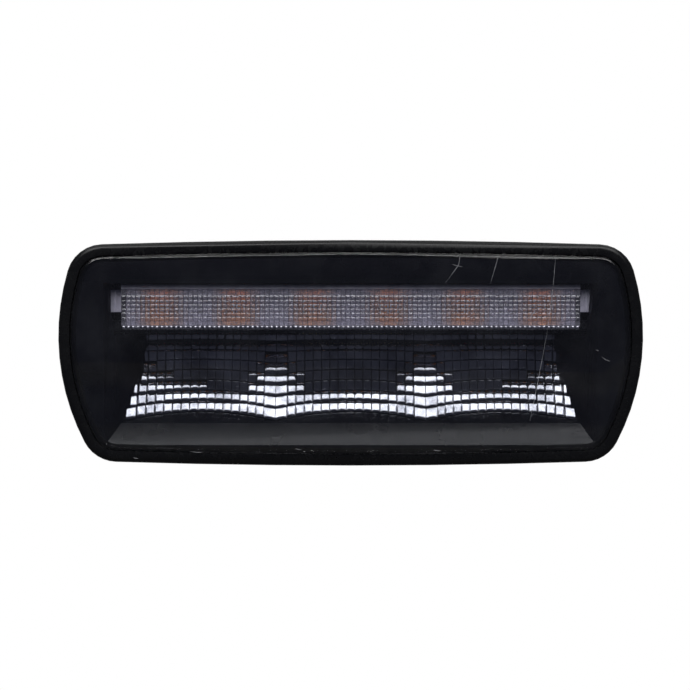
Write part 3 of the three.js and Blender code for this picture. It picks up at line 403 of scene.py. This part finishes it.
def finishPiece(obj, slotName, edgeAngle=None):
    if edgeAngle is not None:
        for face in obj.data.polygons:
            face.use_smooth = True
        obj.data.set_sharp_from_angle(angle=math.radians(edgeAngle))
    dress(obj, slotName)
    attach(obj, "root")


def meshObject(name, verts, faces, slotName, edgeAngle=None):
    mesh = bpy.data.meshes.new(name)
    mesh.from_pydata([tuple(c * mm for c in v) for v in verts], [], faces)
    mesh.update()
    made = inScene(name, mesh)
    work = bmesh.new()
    work.from_mesh(mesh)
    bmesh.ops.recalc_face_normals(work, faces=work.faces)
    work.to_mesh(mesh)
    work.free()
    finishPiece(made, slotName, edgeAngle)
    return made


def smoothCopy(node, bevel, edgeAngle):
    # the CAD shape again, with softened edges and smooth shading
    made = inScene(node + "_finished", nodes[node].data.copy())
    work = bmesh.new()
    work.from_mesh(made.data)
    bmesh.ops.remove_doubles(work, verts=work.verts, dist=soft["weld"] * mm)
    bmesh.ops.dissolve_limit(work, angle_limit=math.radians(soft["flatWithin"]), verts=work.verts,
                             edges=work.edges)
    work.to_mesh(made.data)
    work.free()
    if bevel:
        rounding = made.modifiers.new("soft edges", "BEVEL")
        rounding.width, rounding.segments, rounding.limit_method = bevel * mm, soft["segments"], "ANGLE"
        rounding.angle_limit = math.radians(edgeAngle)
        rounding.use_clamp_overlap = True
        bpy.context.view_layer.update()
        baked = bpy.data.meshes.new_from_object(made.evaluated_get(bpy.context.evaluated_depsgraph_get()))
        made.modifiers.clear()
        made.data = baked
    finishPiece(made, slotOf[node], edgeAngle)
    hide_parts(node)


# mirrored cells: pillow facets laid over the moulding, in millimetres
cells = {"pitch": 83.0, "focusZ": 12.1, "back": 36.3, "focal": 23.743, "top": 11.4, "floorFoot": -38.3,
         "floorY": -13.0, "floorRise": 0.17, "lowest": -60.0, "halvings": 40, "facet": 4.7, "endFacet": 6.3,
         "rows": 8, "steps": 6, "cover": 0.94, "lift": 0.1, "seam": 0.1, "edgeAngle": 35,
         "pillowX": 0.24, "pillowZ": 0.15, "skin": 0.9, "skinPerRise": 3, "skinPerSide": 2,
         # lean of each row from the bottom up, and of its facets near a ridge or an outer corner
         "leans": (0.44, 0.41, 0.12, 0.09, 0.06, 0.06, 0.2, 0.08),
         "brightLeans": (0.42, 0.42, 0.39, 0.365, 0.35, 0.34, 0.34, 0.34),
         # how far out along a row, as a share of half a cell, the steeper lean begins
         "ridgeFrom": (0.5, 0.5, 0.6, 0.65, 0.76, 0.86, 1.2, 1.2),
         "cornerFrom": (0.5, 0.5, -0.06, 0.4, 0.62, 0.84, 1.2, 1.2), "fade": 0.05,
         # share of the bowl's sideways slope that each row keeps, and its limit
         "keepX": (0.1, 0.1, 0.16, 0.16, 0.2, 0.5, 1.0, 1.0),
         "mostSide": (0.05, 0.05, 0.05, 0.06, 0.08, 0.12, 0.25, 0.25),
         "cheekHead": 130.2, "cheekIn": 0.38}


def bowlY(x, z):
    return cells["back"] - (x * x + (z - cells["focusZ"]) ** 2) / (4 * cells["focal"])


def floorAt(x):
    # height where the bowl meets the window's floor, found by halving
    low, high = cells["lowest"], cells["focusZ"]
    for _ in range(cells["halvings"]):
        mid = (low + high) / 2
        if mid < cells["floorFoot"] + cells["floorRise"] * (bowlY(x, mid) - cells["floorY"]):
            low = mid
        else:
            high = mid
    return high


def facetEdges():
    # the columns' edges across one cell, wider at both ends
    half, end = cells["pitch"] / 2, cells["endFacet"]
    inner = round((2 * half - 2 * end) / cells["facet"])
    step = (2 * half - 2 * end) / inner
    return [-half] + [-half + end + step * i for i in range(inner + 1)] + [half]


def facetGrid(left, right, row):
    # points of one facet, column by column: x, z, then its place from -1 to 1 across and up
    steps, points = cells["steps"], []
    for i in range(steps + 1):
        x = left + (right - left) * i / steps
        foot = floorAt(x)
        for j in range(steps + 1):
            z = foot + (cells["top"] - foot) * (row + j / steps) / cells["rows"]
            points.append((x, z, -1 + 2 * i / steps, -1 + 2 * j / steps))
    return points


def facetTilt(x, row, outward):
    # lean up and sideways of a facet, less than the bowl under it, so it throws its light a little downward
    bright = cells["cornerFrom"] if outward else cells["ridgeFrom"]
    share = max(0.0, min(1.0, (abs(x) / (cells["pitch"] / 2) - bright[row]) / cells["fade"]))
    lean = cells["leans"][row] + (cells["brightLeans"][row] - cells["leans"][row]) * share
    side = -x / (2 * cells["focal"]) * cells["keepX"][row]
    return lean, max(-cells["mostSide"][row], min(cells["mostSide"][row], side))


def facetBlock(grid, row, centre):
    # front and back points of one closed pillow block that stands just proud of the bowl
    steps = cells["steps"]
    midX, midZ = grid[len(grid) // 2][:2]
    riseSlope = abs(midZ - cells["focusZ"]) / (2 * cells["focal"])
    sideSlope = abs(midX) / (2 * cells["focal"])
    lean, side = facetTilt(midX, row, centre * midX > 0)
    corners = [grid[0], grid[steps], grid[-steps - 1], grid[-1]]
    deep = min(bowlY(x, z) - side * (x - midX) - lean * (z - midZ) for x, z, _, _ in corners)
    skin = cells["skin"] + cells["skinPerRise"] * riseSlope + cells["skinPerSide"] * sideSlope
    front, back = [], []
    for gridX, gridZ, s, t in grid:
        x = midX + (gridX - midX) * cells["cover"]
        z = midZ + (gridZ - midZ) * cells["cover"]
        y = deep + side * (x - midX) + lean * (z - midZ)
        rise = cells["pillowX"] * (1 - s * s) + cells["pillowZ"] * (1 - t * t)
        seam = cells["seam"] if abs(s) == 1 or abs(t) == 1 else 0.0
        reach = cells["cheekHead"] - (y - cells["floorY"]) * cells["cheekIn"]
        lampX = max(-reach, min(reach, centre + x))
        front.append((lampX, y - cells["lift"] - rise + seam, z))
        back.append((lampX, y + skin, z))
    return front + back


def blockFaces(base):
    # faces of a block whose first point has the number base: front, back and the four sides
    steps, high = cells["steps"], cells["steps"] + 1
    shift, faces = high * high, []
    for i in range(steps):
        for j in range(steps):
            p, q = base + i * high + j, base + (i + 1) * high + j
            faces.append((p, q, q + 1, p + 1))
            faces.append((p + 1 + shift, q + 1 + shift, q + shift, p + shift))
    ring = [i * high for i in range(high)] + [steps * high + j for j in range(1, high)]
    ring += [i * high + steps for i in range(steps - 1, -1, -1)] + list(range(steps - 1, 0, -1))
    for p, q in zip(ring, ring[1:] + ring[:1]):
        faces.append((base + p, base + p + shift, base + q + shift, base + q))
    return faces


def cellSkin(name, centre):
    verts, faces = [], []
    edges = facetEdges()
    for left, right in zip(edges, edges[1:]):
        for row in range(cells["rows"]):
            faces += blockFaces(len(verts))
            verts += facetBlock(facetGrid(left, right, row), row, centre)
    meshObject(name, verts, faces, "mirror_coating", cells["edgeAngle"])


for index, centre in enumerate((-cells["pitch"], 0.0, cells["pitch"])):
    cellSkin(f"mirror_facets_{index + 1}", centre)
print("mirror facets laid")

# pillowed lens of the stop-light bar, in millimetres
barLens = {"half": 125.0, "bottom": 12.3, "top": 37.2, "front": -17.5, "back": -7.5, "wall": 2.2,
           "pillow": 2.604, "gridTop": 31.0, "gridBottom": 17.2, "rows": 6, "height": 0.36, "steps": 4,
           "edge": 1.0, "sink": 0.6, "topBand": (2.3, 2.6), "gridStep": (0.4, 0.1, 0.15), "underGrid": 0.2,
           "lowBand": 2.5, "beadRadius": 1.35, "flute": 0.95, "beadTurns": (65, 45, 25, 5, -20, -50, -90),
           "edgeAngle": 40}
barTab = {"gap": 0.02, "reach": 132.4, "z": (22.0, 34.3), "y": (-13.0, -11.0), "bevel": 0.35, "segments": 3,
          "ribX": 128.6, "ribWidth": 0.9, "ribProud": 0.8, "ribSunk": 0.1, "ribShort": 0.3}
pillowZone, frostZone, veilZone, fluteZone = range(4)   # finishes of the bar lens, in slot order


def barProfile(s):
    # section from the upper back edge round the front to the lower back edge, each point with its finish;
    # s runs from -1 to 1 across one pillow
    b = barLens
    front, flat = b["front"], b["front"] + b["sink"]
    points = [(b["back"], b["top"], frostZone)]
    for k in range(4):
        turn = math.radians(30 * k)
        points.append((front + b["edge"] * (1 - math.sin(turn)), b["top"] - b["edge"] * (1 - math.cos(turn)),
                       frostZone))
    bandHead, bandFoot = b["topBand"]
    lipTop, lipFoot, lipProud = b["gridStep"]
    points += [(front, b["top"] - bandHead, frostZone), (flat, b["top"] - bandFoot, veilZone),
               (flat, b["gridTop"] + lipTop, veilZone), (flat - lipProud, b["gridTop"] + lipFoot, pillowZone)]
    count = b["rows"] * b["steps"]
    for k in range(count + 1):
        t = -1 + 2 * (k % b["steps"]) / b["steps"]
        z = b["gridTop"] + (b["gridBottom"] - b["gridTop"]) * k / count
        points.append((front + b["height"] * (s * s + t * t), z, pillowZone))
    points += [(flat, b["gridBottom"] - b["underGrid"], veilZone),
               (flat, b["bottom"] + b["lowBand"], frostZone)]
    radius = b["beadRadius"]
    for degrees in b["beadTurns"]:
        turn = math.radians(degrees)
        out = radius - b["flute"] * s * s * math.cos(turn)
        points.append((front + radius - out * math.cos(turn), b["bottom"] + radius + out * math.sin(turn),
                       fluteZone))
    points.append((b["back"], b["bottom"], frostZone))
    return points


def barStations():
    # where the sections stand along the bar, each with its place from -1 to 1 across its pillow
    b = barLens
    count = round(2 * b["half"] / b["pillow"])
    stations = []
    for i in range(count):
        for k in range(b["steps"]):
            x = -b["half"] + (i + k / b["steps"]) * 2 * b["half"] / count
            stations.append((x, -1 + 2 * k / b["steps"]))
    return stations + [(b["half"], 1.0)]


def makeBarLens():
    b = barLens
    stations = barStations()
    zones = [zone for _, _, zone in barProfile(0.0)]
    size = len(zones)
    verts, faces = [], []
    for x, s in stations:
        verts += [(x, y, z) for y, z, _ in barProfile(s)]
    for i in range(len(stations) - 1):
        for k in range(size - 1):
            a = i * size + k
            faces.append((a, a + 1, a + size + 1, a + size))
    frontFaces = len(faces)
    # inside: a plain box, open at the back
    inner = len(verts)
    wx, wy = b["half"] - b["wall"], b["front"] + b["wall"]
    top, bottom = b["top"] - b["wall"], b["bottom"] + b["wall"]
    for x in (-wx, wx):
        verts += [(x, b["back"], top), (x, wy, top), (x, wy, bottom), (x, b["back"], bottom)]
    faces += [(inner + 4 + k, inner + 5 + k, inner + 1 + k, inner + k) for k in range(3)]
    faces += [(inner, inner + 1, inner + 2, inner + 3), (inner + 7, inner + 6, inner + 5, inner + 4)]
    # the back rim, one strip per side, then the two ends
    last = (len(stations) - 1) * size
    rimTop = [i * size for i in range(len(stations))]
    rimBottom = [i * size + size - 1 for i in range(len(stations))]
    faces.append(tuple(rimTop) + (inner + 4, inner))
    faces.append(tuple(reversed(rimBottom)) + (inner + 3, inner + 7))
    faces.append((0, inner, inner + 3, size - 1))
    faces.append((last + size - 1, inner + 7, inner + 4, last))
    faces.append(tuple(range(size)))
    faces.append(tuple(range(last + size - 1, last - 1, -1)))
    made = meshObject("bar_lens_pillowed", verts, faces, "clear_bar", b["edgeAngle"])
    for finish in (barFrost, barVeil, barFlute):
        made.data.materials.append(finish)
    for index in range(frontFaces):
        made.data.polygons[index].material_index = zones[index % (size - 1)]
    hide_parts("bar_lens")


def softBox(name, xs, ys, zs):
    # a box of frosted plastic with rounded edges
    corners = [(x, y, z) for x in sorted(xs) for y in ys for z in zs]
    faces = [(0, 1, 3, 2), (4, 6, 7, 5), (0, 4, 5, 1), (2, 3, 7, 6), (0, 2, 6, 4), (1, 5, 7, 3)]
    mesh = bpy.data.meshes.new(name)
    mesh.from_pydata([tuple(c * mm for c in v) for v in corners], [], faces)
    work = bmesh.new()
    work.from_mesh(mesh)
    bmesh.ops.bevel(work, geom=work.edges, offset=barTab["bevel"] * mm, segments=barTab["segments"],
                    affect="EDGES", profile=0.6)
    bmesh.ops.recalc_face_normals(work, faces=work.faces)
    work.to_mesh(mesh)
    work.free()
    made = inScene(name, mesh)
    finishPiece(made, "clear_bar", barLens["edgeAngle"])
    made.data.materials[0] = barFrost


def makeBarTab(label, side):
    # the tab at one end of the bar, with the upright rib on its face
    t = barTab
    tabFront, tabBottom, tabTop = t["y"][0], t["z"][0], t["z"][1]
    tabXs = (barLens["half"] + t["gap"], t["reach"])
    ribXs = (t["ribX"] - t["ribWidth"] / 2, t["ribX"] + t["ribWidth"] / 2)
    softBox(f"bar_lens_tab_{label}", [side * x for x in tabXs], t["y"], t["z"])
    softBox(f"bar_lens_tab_rib_{label}", [side * x for x in ribXs],
            (tabFront - t["ribProud"], tabFront + t["ribSunk"]),
            (tabBottom + t["ribShort"], tabTop - t["ribShort"]))


makeBarLens()
for label, side in (("left", -1), ("right", 1)):
    makeBarTab(label, side)
print("bar lens made")

# softened copies of the moulded pieces: bevel in millimetres, angle of an edge in degrees
softened = {"housing": (0.3, 30), "outer_lens": (0.0, 30), "inner_mask": (0.35, 30), "body_gasket": (0.5, 35),
            "connector_socket": (0.3, 35), "vent_cap": (0.4, 35), "flange_nut_left": (0.2, 35),
            "flange_nut_right": (0.2, 35), "lens_sealant": (0.4, 35)}
for node, (bevel, edgeAngle) in softened.items():
    smoothCopy(node, bevel, edgeAngle)
print("softened pieces:", len(softened))

# cut threads on the two studs, in millimetres
thread = {"radius": 3, "pitch": 0.8, "height": 0.2, "sunk": 0.03, "halfWidth": 0.42, "turnSteps": 28,
          "runOut": 20, "nutGap": 0.3, "endGap": 0.9, "edgeAngle": 30}


def ridgeFaces(count):
    # faces of a three-sided ridge with count + 1 sections of three points each, closed at both ends
    faces = []
    for a in range(3, 3 * count + 1, 3):
        faces += [(a - 3, a - 2, a + 1, a), (a - 2, a - 1, a + 2, a + 1), (a - 1, a - 3, a, a + 2)]
    return faces + [(0, 2, 1), (3 * count, 3 * count + 1, 3 * count + 2)]


def makeThread(label):
    # one helical ridge from the nut to the stud's tip, running out at both ends
    tip = (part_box(f"stud_{label}")[1] / mm).y
    nutLow, nutHigh = (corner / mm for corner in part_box(f"flange_nut_{label}"))
    midX, midZ = (nutLow.x + nutHigh.x) / 2, (nutLow.z + nutHigh.z) / 2
    start, end = nutHigh.y + thread["nutGap"], tip - thread["endGap"]
    radius = thread["radius"] - thread["sunk"]
    count = int((end - start) / thread["pitch"] * thread["turnSteps"])
    verts = []
    for k in range(count + 1):
        turn = math.tau * k / thread["turnSteps"]
        y = start + (end - start) * k / count
        runOut = min(1.0, k / thread["runOut"], (count - k) / thread["runOut"])
        tall = thread["height"] * runOut + thread["sunk"]
        for off, out in ((-thread["halfWidth"], 0.0), (0.0, tall), (thread["halfWidth"], 0.0)):
            reach = radius + out
            verts.append((midX + reach * math.cos(turn), y + off * thread["pitch"],
                          midZ + reach * math.sin(turn)))
    meshObject(f"stud_thread_{label}", verts, ridgeFaces(count), "zinc_steel", thread["edgeAngle"])


for label in ("left", "right"):
    makeThread(label)
print("threads cut")

# hairline scratches in the clear cover, each a shallow ridge of scuffed plastic, in millimetres
scuffs = {"width": 0.26, "deep": 0.05, "under": 0.005, "steps": 6, "thinEnd": 0.25, "wander": 0.18,
          "wanderScale": (0.31, 0.27),
          "lines": [((59.3, 54.2), (58.4, 47.9), (51.3, 38.2)), ((54.7, 48.4), (57.8, 47.2), (60.6, 46.9)),
                    ((80.0, 53.6), (78.4, 47.6), (75.6, 37.4)), ((111.0, 53.2), (109.6, 36.8), (106.6, 12.4)),
                    ((106.6, 12.4), (101.8, -13.6), (97.2, -36.8)),
                    ((136.0, -2.0), (138.2, -3.6), (140.6, -4.2)), ((132.6, 1.8), (134.6, 1.2)),
                    ((100.8, 24.4), (98.0, 20.6), (96.6, 16.4)),
                    ((-30.2, -51.8), (-26.8, -52.4)), ((-86.8, -53.4), (-83.6, -53.8), (-80.2, -53.6)),
                    ((44.8, -52.6), (49.0, -53.0)), ((-118.0, -56.8), (-115.2, -57.2))]}


def scuffPoints(line):
    steps, points = scuffs["steps"], []
    for a, b in zip(line, line[1:]):
        for k in range(steps):
            points.append((a[0] + (b[0] - a[0]) * k / steps, a[1] + (b[1] - a[1]) * k / steps))
    return points + [line[-1]]


def makeScuffs():
    front = cadBox[0].y / mm + scuffs["under"]
    scaleX, scaleZ = scuffs["wanderScale"]
    for index, line in enumerate(scuffs["lines"]):
        points = scuffPoints(line)
        count = len(points) - 1
        verts = []
        for k, (x, z) in enumerate(points):
            before, after = points[max(0, k - 1)], points[min(count, k + 1)]
            run = Vector((after[0] - before[0], after[1] - before[1])).normalized()
            taper = scuffs["thinEnd"] + (1 - scuffs["thinEnd"]) * math.sin(math.pi * k / count)
            wander = scuffs["wander"] * noise.noise(Vector((x * scaleX, z * scaleZ, index)))
            half = scuffs["width"] / 2 * taper
            for off, deep in ((-half, scuffs["deep"]), (0.0, 0.0), (half, scuffs["deep"])):
                verts.append((x - run.y * (off + wander), front + deep, z + run.x * (off + wander)))
        made = meshObject(f"cover_scuff_{index + 1}", verts, ridgeFaces(count), "clear_cover")
        made.data.materials[0] = scuffed


makeScuffs()
print("scuffs:", len(scuffs["lines"]))

# floor, light and backdrop, in metres
studio = {"floorZ": -0.36, "floorRadius": 0.75, "floorSides": 96, "bench": (0.1, 0.1, 0.105)}
floorRing = []
for k in range(studio["floorSides"]):
    turn = math.tau * k / studio["floorSides"]
    floorRing.append((math.cos(turn) * studio["floorRadius"], math.sin(turn) * studio["floorRadius"],
                      studio["floorZ"]))
floorMesh = bpy.data.meshes.new("floor")
floorMesh.from_pydata(floorRing, [], [tuple(range(studio["floorSides"]))])
floor = inScene("floor", floorMesh)
paleFloor = plasticOf("pale floor", grey(0.8), grey(0.86), (0.7, 0.9), 0, 1, 2.0)
floorMesh.materials.append(paleFloor)
# the lamp itself mirrors a darker bench, so its lower rim stays black
floorTree = paleFloor.node_tree
bench = addNode(floorTree, "BsdfDiffuse", Color=(*studio["bench"], 1))
benchRays = addNode(floorTree, "LightPath")
benchMix = addNode(floorTree, "MixShader")
floorOut = floorTree.nodes["Material Output"]
join(floorTree, benchRays.outputs["Is Camera Ray"], benchMix.inputs["Fac"])
join(floorTree, bench.outputs["BSDF"], benchMix.inputs[1])
join(floorTree, floorOut.inputs["Surface"].links[0].from_socket, benchMix.inputs[2])
join(floorTree, benchMix.outputs["Shader"], floorOut.inputs["Surface"])

softLights = {"soft overhead": {"place": (0, 0.1, 1.2), "aim": (0, 0, 0), "size": (1.2, 0.7), "watts": 2.5},
              "soft back": {"place": (0.2, 1.3, 0.9), "aim": (0, 0, 0), "size": (1.0, 0.7), "watts": 4.0}}
for label, light in softLights.items():
    data = bpy.data.lights.new(label, "AREA")
    data.shape, data.energy = "RECTANGLE", light["watts"]
    data.size, data.size_y = light["size"]
    lamp = inScene(label, data)
    lamp.location = light["place"]
    lamp.rotation_euler = (Vector(light["aim"]) - Vector(light["place"])).to_track_quat("-Z", "Y").to_euler()

world = bpy.data.worlds.new("studio")
bpy.context.scene.world = world
world.use_nodes = True
skyTree = world.node_tree
skyTree.nodes.clear()
out = addNode(skyTree, "OutputWorld")
direction = addNode(skyTree, "TexCoord")
height = addNode(skyTree, "SeparateXYZ")
join(skyTree, direction.outputs["Generated"], height.inputs["Vector"])
# what the lamp mirrors, by direction: dark low in front with a strip of table just under the horizon, and
# above it a bright band of soft boxes that comes lower at the sides; the camera itself sees plain white
sky = {"band": 5.0, "bandFoot": (0.52, 0.6), "bandHead": (0.82, 0.9), "bandSides": (0.42, 0.6),
       "bandFront": (0.1, 0.5), "sideLift": 0.6, "sidePower": 3.0,
       "dark": (0.055, 0.058, 0.08), "beside": (0.07, 0.072, 0.08), "behind": (0.14, 0.14, 0.145),
       "turnFrom": (-0.6, 0.5), "above": 0.3, "aboveFrom": (0.8, 0.9), "table": (0.1, 0.1, 0.105),
       "tableEdge": (-0.0695, -0.0675), "tableFoot": (-0.13, -0.1), "tableFront": (-0.9, -0.7)}


def skyMath(operation, a, b):
    made = addNode(skyTree, "Math", operation=operation)
    for socket, value in zip(made.inputs, (a, b)):
        if isinstance(value, float):
            socket.default_value = value
        else:
            join(skyTree, value, socket)
    return made.outputs[0]


def skyMix(share, under, over):
    made = addNode(skyTree, "Mix", data_type="RGBA")
    join(skyTree, share, made.inputs["Factor"])
    join(skyTree, under, made.inputs[6])
    made.inputs[7].default_value = (*over, 1)
    return made.outputs[2]


acrossAbs = skyMath("ABSOLUTE", height.outputs["X"], 0.0)
sideways = skyMath("POWER", acrossAbs, sky["sidePower"])
lifted = skyMath("ADD", height.outputs["Z"], skyMath("MULTIPLY", sideways, sky["sideLift"]))
foot = spread(skyTree, lifted, 0.0, 1.0, *sky["bandFoot"])
head = spread(skyTree, height.outputs["Z"], 1.0, 0.0, *sky["bandHead"])
inFront = spread(skyTree, height.outputs["Y"], 1.0, 0.0, *sky["bandFront"])
withinWidth = spread(skyTree, acrossAbs, 1.0, 0.0, *sky["bandSides"])
bandShare = skyMath("MULTIPLY", skyMath("MULTIPLY", foot, head), skyMath("MULTIPLY", inFront, withinWidth))
low = ramp(skyTree, spread(skyTree, height.outputs["Y"], 0.0, 1.0, *sky["turnFrom"]),
           [(0.0, sky["dark"]), (0.6, sky["beside"]), (1.0, sky["behind"])])
nearTable = skyMath("MULTIPLY", spread(skyTree, height.outputs["Z"], 1.0, 0.0, *sky["tableEdge"]),
                    spread(skyTree, height.outputs["Z"], 0.0, 1.0, *sky["tableFoot"]))
tableFront = spread(skyTree, height.outputs["Y"], 1.0, 0.0, *sky["tableFront"])
tableShare = skyMath("MULTIPLY", nearTable, tableFront)
above = spread(skyTree, height.outputs["Z"], 0.0, 1.0, *sky["aboveFrom"])
withTable = skyMix(tableShare, low, sky["table"])
lowOrAbove = skyMix(above, withTable, grey(sky["above"]))
shade = skyMix(bandShare, lowOrAbove, grey(sky["band"]))
seen = addNode(skyTree, "Background", Color=(1, 1, 1, 1), Strength=1.0)
around = addNode(skyTree, "Background", Strength=1.0)
join(skyTree, shade, around.inputs["Color"])
rays = addNode(skyTree, "LightPath")
pick = addNode(skyTree, "MixShader")
join(skyTree, rays.outputs["Is Camera Ray"], pick.inputs["Fac"])
join(skyTree, around.outputs["Background"], pick.inputs[1])
join(skyTree, seen.outputs["Background"], pick.inputs[2])
join(skyTree, pick.outputs["Shader"], out.inputs["Surface"])
print("studio lit")
